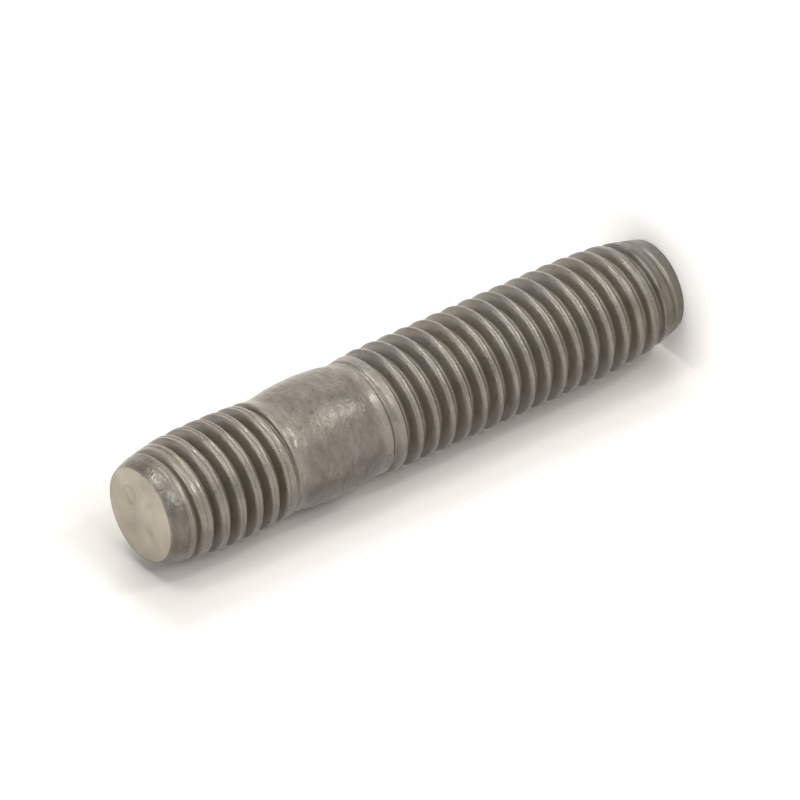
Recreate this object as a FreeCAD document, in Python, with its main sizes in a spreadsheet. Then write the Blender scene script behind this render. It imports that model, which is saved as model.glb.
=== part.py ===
import FreeCAD, Part
import math
import os

import Sketcher

# Stud bolt: one rolled steel bar, standing on its nut end with the axis along Z and that end face at zero height.
# The long thread is the nut end, the short thread is the tap end, and a slightly barrelled shank joins them.
# Both threads are right-hand helical grooves that fade in behind the end face and fade out before the shank.

Vector = FreeCAD.Vector
os.makedirs("parts", exist_ok=True)
doc = FreeCAD.newDocument("stud_bolt")

# Driving sizes: millimetres and degrees
SIZES = {
    "pitch": 1.25,
    "crest_diameter": 7.94,
    "root_diameter": 6.466,
    "nut_end_length": 24,
    "shank_length": 6,
    "tap_end_length": 10,
    "neck_diameter": 7.36,
    "belly_diameter": 7.92,
    "end_face_diameter": 6.2,
    "nut_tip_length": 2.2,
    "nut_tip_diameter": 7.28,
    "nut_lead_length": 5.7,
    "tap_tip_length": 0.8,
    "tap_tip_diameter": 6.84,
    "tap_lead_length": 4.3,
    "crest_fade_length": 2.8,
    "rolling_allowance": 0.08,
    "nut_plain_tip": 0.3,
    "nut_run_out_gap": 0.3,
    "nut_run_out_angle": 33.8,
    "tap_plain_tip": 0.9,
    "tap_run_out_gap": 1.2,
    "tap_run_out_angle": -10.8,
    "run_in_length": 1.25,
    "run_out_length": 1.25,
    "least_groove_depth": 0.02,
}

# Points on each turn of a thread line, and the turns that a die reaches past the start of its groove
POINTS_PER_TURN = 16
SPARE_TURNS = 1

sheet = doc.addObject("Spreadsheet::Sheet", "sizes")
for row, (alias, value) in enumerate(SIZES.items(), start=1):
    sheet.set(f"A{row}", alias)
    sheet.set(f"B{row}", str(value))
    sheet.setAlias(f"B{row}", alias)
doc.recompute()


def evaluate(expression):
    """The value of an expression in the sheet's driving sizes."""
    return float(sheet.evalExpression(expression))


# Heights and radii of the outline, as expressions in the driving sizes
NUT_NECK = "sizes.nut_end_length"
TAP_NECK = f"{NUT_NECK} + sizes.shank_length"
TOP = f"{TAP_NECK} + sizes.tap_end_length"
FACE_RADIUS = "sizes.end_face_diameter / 2"
NECK_RADIUS = "sizes.neck_diameter / 2"
CREST_RADIUS = "sizes.crest_diameter / 2"
STOCK_RADIUS = f"{CREST_RADIUS} + sizes.rolling_allowance"

NUT_END_OUTLINE = [
    ("0", "0"),
    (FACE_RADIUS, "0"),
    ("sizes.nut_tip_diameter / 2", "sizes.nut_tip_length"),
    (STOCK_RADIUS, "sizes.nut_lead_length"),
    (STOCK_RADIUS, f"{NUT_NECK} - sizes.crest_fade_length"),
    (NECK_RADIUS, NUT_NECK),
]
TAP_END_OUTLINE = [
    (NECK_RADIUS, TAP_NECK),
    (STOCK_RADIUS, f"{TAP_NECK} + sizes.crest_fade_length"),
    (STOCK_RADIUS, f"{TOP} - sizes.tap_lead_length"),
    ("sizes.tap_tip_diameter / 2", f"{TOP} - sizes.tap_tip_length"),
    (FACE_RADIUS, TOP),
    ("0", TOP),
]


def corner(expressions):
    """A sketch point from its radius and height expressions."""
    radius, height = expressions
    return Vector(evaluate(radius), evaluate(height), 0)


def bind(sketch, kind, arguments, expression):
    """Adds one dimension to a sketch and ties it to the sheet."""
    index = sketch.addConstraint(Sketcher.Constraint(kind, *arguments, evaluate(expression)))
    sketch.setExpression(f"Constraints[{index}]", expression)


def bind_corner(sketch, geometry, end, expressions):
    """Ties one end of a sketch line to a corner's radius and height."""
    origin = (-1, 1)
    for kind, axis, expression in zip(("DistanceX", "DistanceY"), (-2, -1), expressions):
        if expression == "0":
            sketch.addConstraint(Sketcher.Constraint("PointOnObject", geometry, end, axis))
        else:
            bind(sketch, kind, (*origin, geometry, end), expression)


def draw_half(sketch, outline):
    """Draws the straight runs of one end's outline and ties every corner. Returns the first and last line."""
    points = [corner(expressions) for expressions in outline]
    lines = [sketch.addGeometry(Part.LineSegment(a, b), False) for a, b in zip(points, points[1:])]
    bind_corner(sketch, lines[0], 1, outline[0])
    for line, expressions in zip(lines, outline[1:]):
        bind_corner(sketch, line, 2, expressions)
    for first, second in zip(lines, lines[1:]):
        sketch.addConstraint(Sketcher.Constraint("Coincident", first, 2, second, 1))
    return lines[0], lines[-1]


# Blank: the turned outline, a little proud of the crests where the dies press them down
blank = doc.addObject("PartDesign::Body", "blank")
outline = blank.newObject("Sketcher::SketchObject", "outline")
xz_plane = next(plane for plane in blank.Origin.OriginFeatures if plane.Role == "XZ_Plane")
outline.AttachmentSupport = (xz_plane, [""])
outline.MapMode = "FlatFace"
nut_first, nut_last = draw_half(outline, NUT_END_OUTLINE)
tap_first, tap_last = draw_half(outline, TAP_END_OUTLINE)

# The shank swells from neck to neck on one arc, whose radius follows from its length and its swell
BELLY_HEIGHT = f"{NUT_NECK} + sizes.shank_length / 2"
SWELL = "(sizes.belly_diameter - sizes.neck_diameter) / 2"
HALF_LENGTH = "sizes.shank_length / 2"
belly = Vector(evaluate("sizes.belly_diameter / 2"), evaluate(BELLY_HEIGHT), 0)
barrel = outline.addGeometry(Part.Arc(corner(NUT_END_OUTLINE[-1]), belly, corner(TAP_END_OUTLINE[0])), False)
nut_side, tap_side = (1, 2) if evaluate(SWELL) > 0 else (2, 1)
outline.addConstraint(Sketcher.Constraint("Coincident", nut_last, 2, barrel, nut_side))
outline.addConstraint(Sketcher.Constraint("Coincident", barrel, tap_side, tap_first, 1))
bind(outline, "Radius", (barrel,), f"abs(({HALF_LENGTH} * {HALF_LENGTH} + {SWELL} * {SWELL}) / (2 * {SWELL}))")
axis_line = outline.addGeometry(Part.LineSegment(corner(TAP_END_OUTLINE[-1]), corner(NUT_END_OUTLINE[0])), False)
outline.addConstraint(Sketcher.Constraint("Coincident", tap_last, 2, axis_line, 1))
outline.addConstraint(Sketcher.Constraint("Coincident", axis_line, 2, nut_first, 1))
doc.recompute()

turned = blank.newObject("PartDesign::Revolution", "turned")
turned.Profile = outline
turned.ReferenceAxis = (outline, ["V_Axis"])
turned.Angle = 360
doc.recompute()


def ramp(value, start, end):
    """Goes evenly from nought at start to one at end, and stays there."""
    return min(max((value - start) / (end - start), 0.0), 1.0)


def thread_die(plain_tip, groove_end, end_angle):
    """A ring whose inner surface is the negative of one threaded end.

    Its heights count from the end face inwards. The groove's root is plain_tip from the face where it fades in, and
    groove_end from it where it dies out, at end_angle about the axis. Each turn of the inner surface is two helical
    flanks, from the root to the crest and from that crest to the next turn's root.
    """
    pitch = evaluate("sizes.pitch")
    crest = evaluate(CREST_RADIUS)
    root = evaluate("sizes.root_diameter / 2")
    shallow = crest - evaluate("sizes.least_groove_depth")
    run_in_end = plain_tip + evaluate("sizes.run_in_length")
    run_out_start = groove_end - evaluate("sizes.run_out_length")
    outside = evaluate(STOCK_RADIUS) + pitch
    turns = math.ceil((groove_end - plain_tip) / pitch) + SPARE_TURNS

    def height_at(turn):
        return groove_end + pitch * (turn - turns)

    def point(turn, radius, height):
        angle = math.radians(end_angle) + math.tau * (turn - turns)
        return Vector(radius * math.cos(angle), radius * math.sin(angle), height)

    def root_point(turn):
        height = height_at(turn)
        fade = max(1 - ramp(height, plain_tip, run_in_end), ramp(height, run_out_start, groove_end))
        return point(turn, root + (shallow - root) * fade, height)

    def crest_point(turn):
        return point(turn, crest, height_at(turn) + pitch / 2)

    def rim_point(turn):
        return point(turn, outside, height_at(turn))

    def line(place, first):
        """One turn of a thread line, as a smooth curve."""
        steps = [step / POINTS_PER_TURN for step in range(POINTS_PER_TURN + 1)]
        curve = Part.BSplineCurve()
        curve.interpolate(Points=[place(first + step) for step in steps], Parameters=steps)
        return curve.toShape()

    faces = []
    for first in range(turns):
        crest_line = line(crest_point, first)
        faces.append(Part.makeRuledSurface(line(root_point, first), crest_line))
        faces.append(Part.makeRuledSurface(crest_line, line(root_point, first + 1)))
        faces.append(Part.makeRuledSurface(line(rim_point, first), line(rim_point, first + 1)))
    for turn in (0, turns):
        faces.append(Part.makeRuledSurface(line(root_point, turn), line(rim_point, turn)))
        corners = [root_point(turn), crest_point(turn), root_point(turn + 1), rim_point(turn + 1), rim_point(turn)]
        faces.append(Part.Face(Part.makePolygon([*corners, corners[0]])))

    shell = Part.Shell(faces)
    shell.sewShape()
    die = Part.Solid(shell)
    if die.Volume < 0:
        die.reverse()
    return die


# Dies: the tap end's is made like the nut end's and then turned over onto the top of the bar
nut_die = doc.addObject("Part::Feature", "nut_die")
nut_die.Shape = thread_die(
    evaluate("sizes.nut_plain_tip"),
    evaluate(f"{NUT_NECK} - sizes.nut_run_out_gap"),
    evaluate("sizes.nut_run_out_angle"),
)
tap_die = doc.addObject("Part::Feature", "tap_die")
tap_die.Shape = thread_die(
    evaluate("sizes.tap_plain_tip"),
    evaluate("sizes.tap_end_length - sizes.tap_run_out_gap"),
    evaluate("sizes.tap_run_out_angle"),
)
HALF_TURN = 180
tap_die.Placement = FreeCAD.Placement(Vector(0, 0, 0), FreeCAD.Rotation(Vector(1, 0, 0), HALF_TURN))
tap_die.setExpression("Placement.Base.z", TOP)
doc.recompute()


def press(name, base, die):
    """Forms the base's outside with a die, and makes sure that the die took something away."""
    pressed = doc.addObject("Part::Cut", name)
    pressed.Base = base
    pressed.Tool = die
    doc.recompute()
    if not 0 < pressed.Shape.Volume < base.Shape.Volume:
        raise ValueError(f"{name}: the die left no thread")
    return pressed


nut_threaded = press("nut_threaded", blank, nut_die)
stud = press("stud", nut_threaded, tap_die)
stud.Label = "stud"
stud.Placement = FreeCAD.Placement(Vector(0, 0, 0), FreeCAD.Rotation())
doc.recompute()

for item in doc.Objects:
    if "Invalid" in item.State or "Error" in item.State:
        raise ValueError(f"{item.Name} was not built")
for item in (blank, nut_die, tap_die, nut_threaded, stud):
    if item.Shape.isNull() or not item.Shape.isValid():
        raise ValueError(f"{item.Name} has no valid shape")
if len(stud.Shape.Solids) != 1:
    raise ValueError("the stud is not one solid")

stud.Shape.exportStep("parts/stud.step")
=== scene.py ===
import math

import bmesh
import bpy
from mathutils import Matrix, Vector, noise


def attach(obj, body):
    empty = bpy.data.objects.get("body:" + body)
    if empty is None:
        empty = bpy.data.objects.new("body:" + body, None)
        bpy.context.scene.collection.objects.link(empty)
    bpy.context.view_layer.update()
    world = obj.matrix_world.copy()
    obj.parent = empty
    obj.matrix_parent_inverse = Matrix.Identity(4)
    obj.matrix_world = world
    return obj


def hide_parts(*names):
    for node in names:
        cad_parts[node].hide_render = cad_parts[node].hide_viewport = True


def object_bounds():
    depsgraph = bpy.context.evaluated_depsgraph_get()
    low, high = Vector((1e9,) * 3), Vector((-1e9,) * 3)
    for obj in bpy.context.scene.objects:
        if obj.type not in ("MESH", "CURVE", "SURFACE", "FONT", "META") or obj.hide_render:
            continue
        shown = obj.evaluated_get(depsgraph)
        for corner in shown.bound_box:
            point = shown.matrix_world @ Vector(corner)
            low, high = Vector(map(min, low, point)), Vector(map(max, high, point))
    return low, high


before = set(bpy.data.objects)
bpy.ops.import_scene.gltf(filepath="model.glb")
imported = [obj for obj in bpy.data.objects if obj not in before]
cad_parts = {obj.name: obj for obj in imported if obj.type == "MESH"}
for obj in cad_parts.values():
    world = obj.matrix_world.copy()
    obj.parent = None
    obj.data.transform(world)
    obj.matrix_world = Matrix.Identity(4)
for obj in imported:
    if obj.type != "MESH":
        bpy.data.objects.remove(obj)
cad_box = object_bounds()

# A stud bolt of rolled steel that stands on its nut end: one mesh along both threads, and a small stage.
# Lengths are in millimetres unless a note says otherwise, and heights count from the nut end's face.
MM = 0.001
UP = Vector((0, 0, 1))
LENGTH = (cad_box[1][2] - cad_box[0][2]) / MM
CREST_CLEARANCE = 0.005
CREST_LIMIT = cad_box[1][0] / MM - CREST_CLEARANCE
BAR_RADIUS = 3.97
NUT_NECK = 24.0
TAP_NECK = 30.0
PITCH = 1.25
FACE_RADIUS = 3.1
FLANK_SLOPE = math.tan(math.radians(30))

# Outline over the crests and along the shank: height and radius
OUTLINE = [
    (0.0, 3.10), (0.9, 3.33), (2.0, 3.58), (3.4, 3.79), (4.8, 3.88), (6.2, 3.94),
    (20.6, 3.95), (22.6, 3.87), (24.0, 3.69), (25.0, 3.85), (26.8, 3.96), (28.5, 3.88),
    (30.0, 3.68), (30.7, 3.76), (31.8, 3.83), (33.0, 3.90), (35.5, 3.91), (37.2, 3.80),
    (37.9, 3.67), (38.9, 3.48), (39.45, 3.34), (40.0, 3.10),
]

# Threads: the groove's root dies out beside the shank at groove_height, on the bearing groove_angle.
# It starts plain_tip behind the end face and is full run_in further on, and it fades out over the last run_out.
NUT_THREAD = {
    "groove_height": 23.7,
    "groove_angle": math.radians(-6.5),
    "face": 0.0,
    "root_radius": 3.24,
    "root_flat": 0.08,
    "crest_rounding": 0.2,
    "plain_tip": 0.1,
    "run_in": 0.9,
    "run_out": 1.25,
    "seam_depth": 0.0,
    "seam_width": 0.035,
}
TAP_THREAD = {
    "groove_height": 30.4,
    "groove_angle": math.radians(140.4),
    "face": LENGTH,
    "root_radius": 3.24,
    "root_flat": 0.03,
    "crest_rounding": 0.06,
    "plain_tip": 0.6,
    "run_in": 1.1,
    "run_out": 1.25,
    "seam_depth": 0.07,
    "seam_width": 0.06,
}
FADE_PAST_END = 0.15
LEAST_DEPTH = 0.002
SEAM_LEVEL = 0.75
SEAM_FULL_DEPTH = 0.3

# Small waves of the surface: height, length and place in the noise
LIP_WAVE = {"height": 0.012, "length": 0.5, "seed": 1}
SEAM_WAVE = {"height": 0.5, "length": 1.4, "seed": 2}
SHANK_WAVE = {"height": 0.008, "length": 1.6, "seed": 3}
WAVE_RADIUS = 4
SEED_STEP = 50

# Pits beside the tap end's neck: bearing, height, width and depth
PITS = [
    (math.radians(-86.5), 30.3, 0.16, 0.11),
    (math.radians(-120.9), 30.35, 0.14, 0.10),
    (math.radians(-108), 30.15, 0.10, 0.05),
    (math.radians(20), 29.8, 0.15, 0.06),
    (math.radians(95), 30.2, 0.14, 0.08),
]
PIT_REACH = 3

# Darker, streaked bands on both cones behind the end faces and on the shank; on the tap end's cone
# the band is painted shade. Columns: lowest and highest place, length of the fade past both, and strength
STAIN_AND_SHADE_BANDS = [
    (LENGTH - 1.1, LENGTH - 0.2, 0.2, 1.0),
    (1.8, 2.3, 0.3, 0.9),
    (24.6, 29.6, 0.8, 1.0),
]

# Dents in the tap end's face: place, radius of the ring, width of its groove and depth
TAP_DENTS = [
    (1.37, 0.26, 0.5, 0.13, 0.07),
    (1.3, 0.2, 0.0, 0.2, 0.07),
    (-1.47, 0.1, 0.0, 0.5, 0.09),
    (0.1, -1.2, 0.0, 0.3, 0.06),
]
END_FACES = [
    {"height": 0.0, "outward": -1, "seed": 3.0, "dents": []},
    {"height": LENGTH, "outward": 1, "seed": 7.0, "dents": TAP_DENTS},
]
FACE_WAVE_HEIGHT = 0.006
FACE_WAVE_LENGTH = 1.1

# Mesh: columns around the bar, and rows over each turn as distances from its crest
COLUMNS = 120
ANGLES = [math.tau * column / COLUMNS for column in range(COLUMNS)]
CREST_ROWS = [0.0, 0.03, 0.06, 0.09, 0.12, 0.155, 0.19, 0.23]
FLANK_ROWS = [0.30, 0.38, 0.46]
ROOT_ROWS = [0.535, 0.58, 0.625]
SPARE_TURNS = 2
SHANK_ROWS = 40
FACE_RINGS = 30
DECIMALS = 6
WELD_DISTANCE = 0.0005
SHORTEST_EDGE = 0.0002

# Colours of the steel
STEEL_COOL = (0.212, 0.202, 0.182)
STEEL_WARM = (0.218, 0.196, 0.162)
STEEL_DARK = (0.115, 0.104, 0.088)
# Colour of the darker bands, streaked; on the tap end's cone it is painted shade
STEEL_STAIN_AND_SHADE = (0.095, 0.087, 0.076)
# Down the grooves: brown dirt together with painted shade
GROOVE_DIRT_AND_SHADE = (0.17, 0.143, 0.105)
# End faces: their sheared finish, painted paler as if reflecting a bright surface
FACE_FINISH_AND_SHEEN_LIGHT = (0.41, 0.371, 0.304)
FACE_FINISH_AND_SHEEN_DARK = (0.29, 0.268, 0.22)

# Noise in the steel: features per metre, detail and squeeze along the axis. The patterns go on with
# the noise's lowest and highest value that count, and what each gives.
PATTERNS = {
    "patches": (260, 3, 1, 0.35, 0.65, 0, 1),
    "smudges": (620, 3, 1.6, 0.5, 0.75, 0, 0.5),
    "mottles": (2900, 3, 1, 0.55, 0.8, 0, 0.3),
    "streaks": (900, 3, 2.5, 0.35, 0.65, 0.3, 0.7),
    "face_patches": (420, 4, 1, 0.35, 0.7, 0, 1),
    "rubbed": (3200, 2, 1.4, 0.5, 0.75, 0, 0.17),
    "satin": (2600, 3, 1, 0.3, 0.7, 0.32, 0.44),
}
GRAIN = (4200, 2, 1)
LUMPS = (700, 3, 3)
LUMP_SHARE = 2
BUMP_DISTANCE = 0.016
FACE_ROUGHNESS = 0.45

# What the depth in a groove, or the slant of the surface, gives: from, to, and the outcome at each
CREST_RANGE = (0.1, 0.5, 1, 0.35)
# Depth in a groove to dirt and painted shade
GROOVE_DIRT_AND_SHADE_RANGE = (0.4, 1, 0, 0.5)
GROOVE_FINISH_RANGE = (0.3, 1, 0, 0.15)
FACE_RANGE = (0.93, 0.98, 0, 1)

# Camera: the photo looks at the stud 30 degrees above its equator, and the axis runs up to the right
FORWARD = Vector((0, 0.863, -0.505)).normalized()
AXIS_TILT = math.radians(24.1)
CAMERA_DISTANCE = 545
LENS = 398.5
CLIP_START = 10
AIM_HEIGHT = 20.32
AIM_SHIFT = 0.185

# Stage: the photo's surface, on which the stud lies, is here an upright pale screen that touches its side.
# Each paper glows white away from the stud; inside a box in its own plane the glow is held low, painted shade
# that deepens the real shadow, and it grows over the fade around the box.
SURFACE_PITCH = math.radians(35.3)
SHEET_REACH = 600
# The screen's glow is held low along the stud: a painted shadow band
SCREEN_PAPER = {
    "albedo": (0.76, 0.73, 0.705, 1),
    "painted_shade_glow": 0.02,
    "glow": 0.35,
    "painted_shade_centre": (20, -3.25),
    "painted_shade_half": (21, 8.75),
    "fade": 4.5,
}
# The floor's glow is held low around the stud's foot: a painted contact shadow
FLOOR_PAPER = {
    "albedo": (0.9, 0.885, 0.87, 1),
    "painted_shade_glow": 0.04,
    "glow": 0.52,
    "painted_shade_centre": (2.5, -0.5),
    "painted_shade_half": (0, 0),
    "fade": 10,
}

# Lamps: direction from the stud's middle, diameter in millimetres, power in watts and tint. The key stands
# in front of the screen. The low and back ones shine through the paper, which is clear from behind.
WHITE = (1, 1, 1)
LAMP_DISTANCE = 400
KEY_SIZE = 340
KEY_POWER = 0.57
LAMPS = [
    ("side", (0.8, -0.54, 0.25), 100, 0.22, WHITE),
    ("front", (0.1, -1.0, 0.05), 100, 0.26, (1, 0.98, 0.95)),
    ("top", (0.3, -0.3, 1.0), 300, 0.42, WHITE),
    ("low_front", (0.34, -0.79, -0.5), 50, 0.24, WHITE),
    ("back_left", (-0.45, 0.85, -0.3), 300, 1.2, WHITE),
    ("back_right", (0.2, 0.95, -0.3), 300, 1.2, WHITE),
    ("low_side", (0.83, 0.24, -0.5), 250, 0.72, (1, 0.99, 0.97)),
]
SEEN_WORLD = (1, 1, 1, 1)
DIM_WORLD = (0.1, 0.095, 0.09, 1)


def ease(value, start, end):
    """Goes smoothly from nought at start to one at end."""
    t = min(max((value - start) / (end - start), 0.0), 1.0)
    return t * t * (3 - 2 * t)


def band(height, low, high, fade):
    """One between two heights, fading to nought outside them."""
    return ease(height, low - fade, low) * (1 - ease(height, high, high + fade))


def smooth_min(a, b, width):
    """The lesser of two values, with the corner between them rounded."""
    t = max(width - abs(a - b), 0.0) / width
    return min(a, b) - t * t * width / 4


def wobble(wave, angle, height):
    """One of the small waves, at a place on the bar."""
    around = (WAVE_RADIUS * math.cos(angle), WAVE_RADIUS * math.sin(angle))
    spot = Vector((*around, height + SEED_STEP * wave["seed"]))
    return wave["height"] * noise.noise(spot / wave["length"])


def outline_radius(height):
    """The smooth curve through the outline's points."""
    points = OUTLINE
    height = min(max(height, points[0][0]), points[-1][0])
    index = 0
    while index < len(points) - 2 and height > points[index + 1][0]:
        index += 1
    (z0, r0), (z1, r1) = points[index], points[index + 1]
    span = z1 - z0
    before = points[max(index - 1, 0)]
    after = points[min(index + 2, len(points) - 1)]
    slope0 = (r1 - before[1]) / (z1 - before[0])
    slope1 = (after[1] - r0) / (after[0] - z0)
    t = (height - z0) / span
    blend = t * t * (3 - 2 * t)
    return r0 + (r1 - r0) * blend + span * (slope0 * t * (1 - t) ** 2 - slope1 * t * t * (1 - t))


def thread_radius(thread, angle, height):
    """The surface of a rolled thread, and how far down a groove it lies, from nought to one.

    It has V grooves in the bar and, on each crest, two lips with a seam between them.
    """
    crest = outline_radius(height)
    turns = (height - thread["groove_height"]) / PITCH - (angle - thread["groove_angle"]) / math.tau
    from_root = abs(turns - round(turns)) * PITCH
    from_crest = PITCH / 2 - from_root
    inward = abs(height - thread["face"])
    end = abs(thread["groove_height"] - thread["face"])
    fade_in = ease(inward, thread["plain_tip"], thread["plain_tip"] + thread["run_in"])
    fade_out = 1 - ease(inward, end - thread["run_out"], end + FADE_PAST_END)
    depth = (crest - thread["root_radius"]) * fade_in * fade_out
    if depth < LEAST_DEPTH:
        return crest, 0.0
    groove = crest - depth + max(from_root - thread["root_flat"], 0.0) / FLANK_SLOPE
    seam = thread["seam_depth"] * (SEAM_LEVEL + wobble(SEAM_WAVE, angle, height))
    seam *= min(1.0, depth / SEAM_FULL_DEPTH)
    seam *= math.exp(-(from_crest / thread["seam_width"]) ** 2)
    top = crest + wobble(LIP_WAVE, angle, height) - seam
    radius = smooth_min(top, groove, thread["crest_rounding"])
    return radius, (crest - radius) / (crest - thread["root_radius"])


def pit_depth(angle, height):
    """Depth of the pits at a place on the bar."""
    depth = 0.0
    for bearing, pit_height, width, pit in PITS:
        if abs(height - pit_height) < PIT_REACH * width:
            around = math.remainder(angle - bearing, math.tau) * TAP_THREAD["root_radius"]
            depth += pit * math.exp(-(around ** 2 + (height - pit_height) ** 2) / width ** 2)
    return depth


def stain_and_shade(height):
    """How dark the stain and shade bands make the bar, from nought to one."""
    return max(strength * band(height, low, high, fade) for low, high, fade, strength in STAIN_AND_SHADE_BANDS)


def surface(angle, height):
    """The bar's radius at a place, and how far down a groove that place lies, from nought to one."""
    if height < NUT_NECK:
        radius, sunk = thread_radius(NUT_THREAD, angle, height)
    elif height > TAP_NECK:
        radius, sunk = thread_radius(TAP_THREAD, angle, height)
    else:
        radius, sunk = outline_radius(height) + wobble(SHANK_WAVE, angle, height), 0.0
    return min(radius - pit_depth(angle, height), CREST_LIMIT), sunk


def add_vertex(mesh, angle, height):
    """A vertex on the bar's surface, which remembers how far down a groove it lies and how dark its bands are.
    """
    radius, sunk = surface(angle, height)
    vertex = mesh.verts.new(Vector((radius * math.cos(angle), radius * math.sin(angle), height)) * MM)
    vertex[mesh.verts.layers.float["groove"]] = sunk
    vertex[mesh.verts.layers.float["stain_and_shade"]] = stain_and_shade(height)
    return vertex


def row_heights():
    """Heights of one turn's rows from its groove's root, close together at the crest."""
    half = [PITCH / 2 - step for step in [*CREST_ROWS, *FLANK_ROWS, *ROOT_ROWS]]
    below = {round(-step, DECIMALS) for step in half if step < PITCH / 2}
    return sorted({round(step, DECIMALS) for step in half} | below)


def add_threaded_end(mesh, thread, low, high):
    """Rows that follow the helix between two heights, clamped to them."""
    rows = row_heights()
    first_turn = math.floor((low - thread["groove_height"]) / PITCH) - SPARE_TURNS
    last_turn = math.ceil((high - thread["groove_height"]) / PITCH) + SPARE_TURNS
    columns = []
    for angle in ANGLES:
        lift = thread["groove_height"] + PITCH * (angle - thread["groove_angle"]) / math.tau
        heights = [lift + PITCH * turn + row for turn in range(first_turn, last_turn + 1) for row in rows]
        columns.append([(angle, min(max(height, low), high)) for height in heights])
    # The bar closes on its first column, in which each row lies one turn further up
    columns.append(columns[0][len(rows):] + [(0.0, high)] * len(rows))
    made = {}

    def vertex(angle, height):
        key = (round(angle, DECIMALS), round(height, DECIMALS))
        if key not in made:
            made[key] = add_vertex(mesh, angle, height)
        return made[key]

    for left, right in zip(columns, columns[1:]):
        for row in range(len(left) - 1):
            spots = (left[row], right[row], right[row + 1], left[row + 1])
            corners = [vertex(*spot) for spot in spots]
            loop = [v for i, v in enumerate(corners) if v is not corners[i - 1]]
            if len(loop) > 2:
                mesh.faces.new(loop)


def add_shank(mesh):
    """The plain part between the threads, in level rings."""
    rings = []
    for row in range(SHANK_ROWS + 1):
        height = NUT_NECK + (TAP_NECK - NUT_NECK) * row / SHANK_ROWS
        rings.append([add_vertex(mesh, angle, height) for angle in ANGLES])
    for lower, upper in zip(rings, rings[1:]):
        for column in range(COLUMNS):
            beside = (column + 1) % COLUMNS
            mesh.faces.new([lower[column], lower[beside], upper[beside], upper[column]])


def face_dent(x, y, face):
    """Depth of the waves and dents in an end face."""
    depth = FACE_WAVE_HEIGHT * noise.noise(Vector((x, y, face["seed"])) / FACE_WAVE_LENGTH)
    for centre_x, centre_y, ring, width, dent in face["dents"]:
        distance = math.hypot(x - centre_x, y - centre_y)
        depth += dent * math.exp(-((distance - ring) / width) ** 2)
    return max(depth, 0.0)


def add_end_face(mesh, face):
    """A flat round end in rings about its centre, with its dents."""
    rings = []
    for ring in range(1, FACE_RINGS + 1):
        radius = FACE_RADIUS * ring / FACE_RINGS
        line = []
        for angle in ANGLES:
            x = radius * math.cos(angle)
            y = radius * math.sin(angle)
            dent = 0.0 if ring == FACE_RINGS else face_dent(x, y, face)
            line.append(mesh.verts.new(Vector((x, y, face["height"] - face["outward"] * dent)) * MM))
        rings.append(line)
    centre = mesh.verts.new(Vector((0, 0, face["height"])) * MM)
    for column in range(COLUMNS):
        beside = (column + 1) % COLUMNS
        mesh.faces.new([centre, rings[0][column], rings[0][beside]])
        for inner, outer in zip(rings, rings[1:]):
            mesh.faces.new([inner[column], outer[column], outer[beside], inner[beside]])


def make_stud():
    """The whole stud as one closed mesh."""
    mesh = bmesh.new()
    mesh.verts.layers.float.new("groove")
    mesh.verts.layers.float.new("stain_and_shade")
    add_threaded_end(mesh, NUT_THREAD, 0.0, NUT_NECK)
    add_threaded_end(mesh, TAP_THREAD, TAP_NECK, LENGTH)
    add_shank(mesh)
    for face in END_FACES:
        add_end_face(mesh, face)
    bmesh.ops.remove_doubles(mesh, verts=mesh.verts, dist=WELD_DISTANCE * MM)
    bmesh.ops.dissolve_degenerate(mesh, dist=SHORTEST_EDGE * MM, edges=mesh.edges)
    bmesh.ops.recalc_face_normals(mesh, faces=mesh.faces)
    for face in mesh.faces:
        face.smooth = True
    data = bpy.data.meshes.new("rolled_stud")
    mesh.to_mesh(data)
    mesh.free()
    stud = bpy.data.objects.new("rolled_stud", data)
    bpy.context.scene.collection.objects.link(stud)
    return stud


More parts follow.
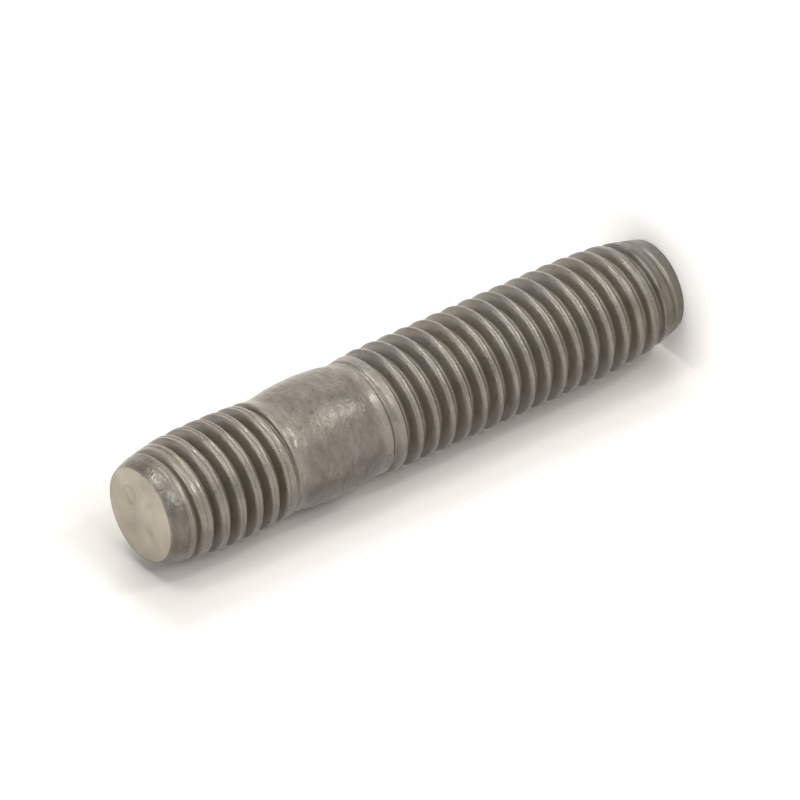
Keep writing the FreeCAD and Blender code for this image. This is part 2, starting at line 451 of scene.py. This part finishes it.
def steel_material():
    """Rolled steel: satin grey with fine mottling, browner down the grooves with dirt and painted shade, and
    paler on the end faces, partly a painted reflection.
    """
    material = bpy.data.materials.new("rolled_steel")
    material.use_nodes = True
    nodes = material.node_tree.nodes
    links = material.node_tree.links
    shader = nodes["Principled BSDF"]
    shader.inputs["Metallic"].default_value = 1.0
    coordinates = nodes.new("ShaderNodeTexCoord")

    def put(value, socket):
        """Links a socket to the outcome of another node, or sets it to a number or a colour."""
        if isinstance(value, (int, float)):
            socket.default_value = value
        elif isinstance(value, tuple):
            socket.default_value = (*value, 1)
        else:
            links.new(value, socket)

    def texture(scale, detail, squeeze):
        mapping = nodes.new("ShaderNodeMapping")
        mapping.inputs["Scale"].default_value = (1, 1, squeeze)
        links.new(coordinates.outputs["Object"], mapping.inputs["Vector"])
        node = nodes.new("ShaderNodeTexNoise")
        node.inputs["Scale"].default_value = scale
        node.inputs["Detail"].default_value = detail
        links.new(mapping.outputs["Vector"], node.inputs["Vector"])
        return node.outputs["Fac"]

    def ramp(value, low, high, low_out, high_out):
        node = nodes.new("ShaderNodeMapRange")
        node.inputs["From Min"].default_value = low
        node.inputs["From Max"].default_value = high
        node.inputs["To Min"].default_value = low_out
        node.inputs["To Max"].default_value = high_out
        links.new(value, node.inputs["Value"])
        return node.outputs["Result"]

    def pattern(name):
        scale, detail, squeeze, *span = PATTERNS[name]
        return ramp(texture(scale, detail, squeeze), *span)

    def mix(kind, factor, first, second):
        node = nodes.new("ShaderNodeMix")
        node.data_type = kind
        links.new(factor, node.inputs["Factor"])
        put(first, node.inputs["A"])
        put(second, node.inputs["B"])
        return node.outputs["Result"]

    def maths(operation, first, second):
        node = nodes.new("ShaderNodeMath")
        node.operation = operation
        put(first, node.inputs[0])
        put(second, node.inputs[1])
        return node.outputs["Value"]

    def layer(name):
        node = nodes.new("ShaderNodeAttribute")
        node.attribute_name = name
        return node.outputs["Fac"]

    # Colour: cool and warm patches, then smudges, mottles, groove dirt with painted shade, the darker bands and
    # the pale end faces with a painted reflection
    groove = layer("groove")
    crests = ramp(groove, *CREST_RANGE)
    patches = mix("RGBA", pattern("patches"), STEEL_WARM, STEEL_COOL)
    smudged = mix("RGBA", maths("MULTIPLY", pattern("smudges"), crests), patches, STEEL_DARK)
    mottled = mix("RGBA", maths("MULTIPLY", pattern("mottles"), crests), smudged, STEEL_DARK)
    # Browner and darker down the grooves: dirt and painted shade
    groove_dirt_and_shade = mix("RGBA", ramp(groove, *GROOVE_DIRT_AND_SHADE_RANGE), mottled, GROOVE_DIRT_AND_SHADE)
    # Darker, streaked bands: painted shade on the tap end's cone
    stained_and_shaded = mix("RGBA", maths("MULTIPLY", layer("stain_and_shade"), pattern("streaks")), groove_dirt_and_shade, STEEL_STAIN_AND_SHADE)
    separate = nodes.new("ShaderNodeSeparateXYZ")
    links.new(coordinates.outputs["Normal"], separate.inputs["Vector"])
    # End faces, found by the slant of the normal, get a paler colour: their finish plus a painted reflection
    on_face = ramp(maths("ABSOLUTE", separate.outputs["Z"], 0.0), *FACE_RANGE)
    face_finish_and_sheen = mix("RGBA", pattern("face_patches"), FACE_FINISH_AND_SHEEN_LIGHT, FACE_FINISH_AND_SHEEN_DARK)
    links.new(mix("RGBA", on_face, stained_and_shaded, face_finish_and_sheen), shader.inputs["Base Color"])

    # Finish: satin, rougher down the grooves, with bright rubbed flecks on the crests and the shank
    satin = maths("SUBTRACT", pattern("satin"), maths("MULTIPLY", pattern("rubbed"), crests))
    finish = maths("ADD", satin, ramp(groove, *GROOVE_FINISH_RANGE))
    links.new(mix("FLOAT", on_face, finish, FACE_ROUGHNESS), shader.inputs["Roughness"])

    # Relief: fine grain and longer marks around the bar, stronger on the crests and in the darker bands
    marks = maths("ADD", texture(*GRAIN), maths("MULTIPLY", texture(*LUMPS), LUMP_SHARE))
    battered = maths("ADD", crests, layer("stain_and_shade"))
    bump = nodes.new("ShaderNodeBump")
    bump.inputs["Strength"].default_value = 1.0
    bump.inputs["Distance"].default_value = BUMP_DISTANCE * MM
    links.new(maths("MULTIPLY", marks, battered), bump.inputs["Height"])
    links.new(bump.outputs["Normal"], shader.inputs["Normal"])
    return material


def add_camera():
    """The photo's camera. Returns the direction that is up in its picture."""
    level_right = FORWARD.cross(UP).normalized()
    level_up = level_right.cross(FORWARD)
    # In the photo the bar's axis, from the near end to the far one, rises to the right by the axis tilt
    away = -UP
    flat = Vector((away.dot(level_right), away.dot(level_up)))
    roll = math.atan2(flat.y, flat.x) - AXIS_TILT
    right = level_right * math.cos(roll) + level_up * math.sin(roll)
    up = right.cross(FORWARD)
    camera = bpy.data.objects.new("camera", bpy.data.cameras.new("camera"))
    turn = Matrix((right, up, -FORWARD)).transposed().to_4x4()
    spot = UP * AIM_HEIGHT - FORWARD * CAMERA_DISTANCE + right * AIM_SHIFT
    camera.matrix_world = Matrix.Translation(spot * MM) @ turn
    camera.data.lens = LENS
    camera.data.clip_start = CLIP_START * MM
    bpy.context.scene.collection.objects.link(camera)
    bpy.context.scene.camera = camera
    return up


def stage_material(name, paper):
    """Matt paper, clear from behind, that glows white away from the object and keeps its shadow, deepened there
    by painted shade.
    """
    material = bpy.data.materials.new(name)
    material.use_nodes = True
    nodes = material.node_tree.nodes
    links = material.node_tree.links
    nodes.clear()
    output = nodes.new("ShaderNodeOutputMaterial")
    value = nodes.new("ShaderNodeTexCoord").outputs["Object"]
    steps = (
        ("SUBTRACT", (*paper["painted_shade_centre"], 0)),
        ("ABSOLUTE", (0, 0, 0)),
        ("SUBTRACT", (*paper["painted_shade_half"], 0)),
        ("MAXIMUM", (0, 0, 0)),
    )
    for operation, amount in steps:
        step = nodes.new("ShaderNodeVectorMath")
        step.operation = operation
        links.new(value, step.inputs[0])
        step.inputs[1].default_value = Vector(amount) * MM
        value = step.outputs["Vector"]
    distance = nodes.new("ShaderNodeVectorMath")
    distance.operation = "LENGTH"
    links.new(value, distance.inputs[0])
    # Painted shade: low glow inside the box, rising to full glow over the fade
    glow_past_painted_shade = nodes.new("ShaderNodeMapRange")
    glow_past_painted_shade.interpolation_type = "SMOOTHSTEP"
    glow_past_painted_shade.inputs["From Max"].default_value = paper["fade"] * MM
    glow_past_painted_shade.inputs["To Min"].default_value = paper["painted_shade_glow"]
    glow_past_painted_shade.inputs["To Max"].default_value = paper["glow"]
    links.new(distance.outputs["Value"], glow_past_painted_shade.inputs["Value"])
    paper_glow = nodes.new("ShaderNodeEmission")
    links.new(glow_past_painted_shade.outputs["Result"], paper_glow.inputs["Strength"])
    matt = nodes.new("ShaderNodeBsdfDiffuse")
    matt.inputs["Color"].default_value = paper["albedo"]
    both = nodes.new("ShaderNodeAddShader")
    links.new(matt.outputs["BSDF"], both.inputs[0])
    links.new(paper_glow.outputs["Emission"], both.inputs[1])
    geometry = nodes.new("ShaderNodeNewGeometry")
    clear = nodes.new("ShaderNodeBsdfTransparent")
    switch = nodes.new("ShaderNodeMixShader")
    links.new(geometry.outputs["Backfacing"], switch.inputs["Fac"])
    links.new(both.outputs["Shader"], switch.inputs[1])
    links.new(clear.outputs["BSDF"], switch.inputs[2])
    links.new(switch.outputs["Shader"], output.inputs["Surface"])
    return material


def add_sheet(name, paper, corner, along, across):
    """A sheet of paper that reaches from a corner line along its own X, and both ways along its Y."""
    reach = SHEET_REACH * MM
    data = bpy.data.meshes.new(name)
    corners = [(a * reach, b * reach, 0) for a, b in ((0, -1), (1, -1), (1, 1), (0, 1))]
    data.from_pydata(corners, [], [(0, 1, 2, 3)])
    data.materials.append(stage_material(f"{name}_paper", paper))
    sheet = bpy.data.objects.new(name, data)
    turn = Matrix((along, across, along.cross(across))).transposed().to_4x4()
    sheet.matrix_world = Matrix.Translation(corner) @ turn
    sheet.visible_shadow = False
    bpy.context.scene.collection.objects.link(sheet)


def add_light(name, direction, size, power, tint):
    """A round lamp that looks at the stud's middle."""
    lamp = bpy.data.lights.new(name, "AREA")
    lamp.shape = "DISK"
    lamp.size = size * MM
    lamp.energy = power
    lamp.color = tint
    holder = bpy.data.objects.new(name, lamp)
    direction = Vector(direction).normalized()
    holder.location = (UP * LENGTH / 2 + direction * LAMP_DISTANCE) * MM
    holder.rotation_euler = direction.to_track_quat("Z", "Y").to_euler()
    bpy.context.scene.collection.objects.link(holder)


def add_world():
    """A world that is white where it is seen or mirrored, and dim as a light."""
    world = bpy.data.worlds.new("studio")
    bpy.context.scene.world = world
    world.use_nodes = True
    nodes = world.node_tree.nodes
    links = world.node_tree.links
    nodes.clear()
    path = nodes.new("ShaderNodeLightPath")
    seen = path.outputs["Is Camera Ray"]
    for ray in ("Is Glossy Ray", "Is Transmission Ray"):
        either = nodes.new("ShaderNodeMath")
        either.operation = "MAXIMUM"
        links.new(seen, either.inputs[0])
        links.new(path.outputs[ray], either.inputs[1])
        seen = either.outputs["Value"]
    mix = nodes.new("ShaderNodeMixShader")
    links.new(seen, mix.inputs["Fac"])
    for socket, colour in zip(mix.inputs[1:], (DIM_WORLD, SEEN_WORLD)):
        background = nodes.new("ShaderNodeBackground")
        background.inputs["Color"].default_value = colour
        links.new(background.outputs["Background"], socket)
    output = nodes.new("ShaderNodeOutputWorld")
    links.new(mix.outputs["Shader"], output.inputs["Surface"])


def set_stage(up):
    """The screen, on the side where the photo's surface lies, with the floor, the lamps and the world."""
    screen_normal = up * math.cos(SURFACE_PITCH) - FORWARD * math.sin(SURFACE_PITCH)
    screen_normal.z = 0
    screen_normal.normalize()
    screen_across = screen_normal.cross(UP)
    corner_line = screen_normal * -BAR_RADIUS * MM
    add_sheet("screen", SCREEN_PAPER, corner_line, UP, screen_across)
    add_sheet("floor", FLOOR_PAPER, corner_line, screen_normal, -screen_across)
    add_light("key", screen_normal, KEY_SIZE, KEY_POWER, WHITE)
    for lamp in LAMPS:
        add_light(*lamp)
    add_world()
    bpy.context.scene.view_settings.view_transform = "Standard"


picture_up = add_camera()
stud = make_stud()
stud.data.materials.append(steel_material())
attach(stud, "root")
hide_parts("stud")
set_stage(picture_up)
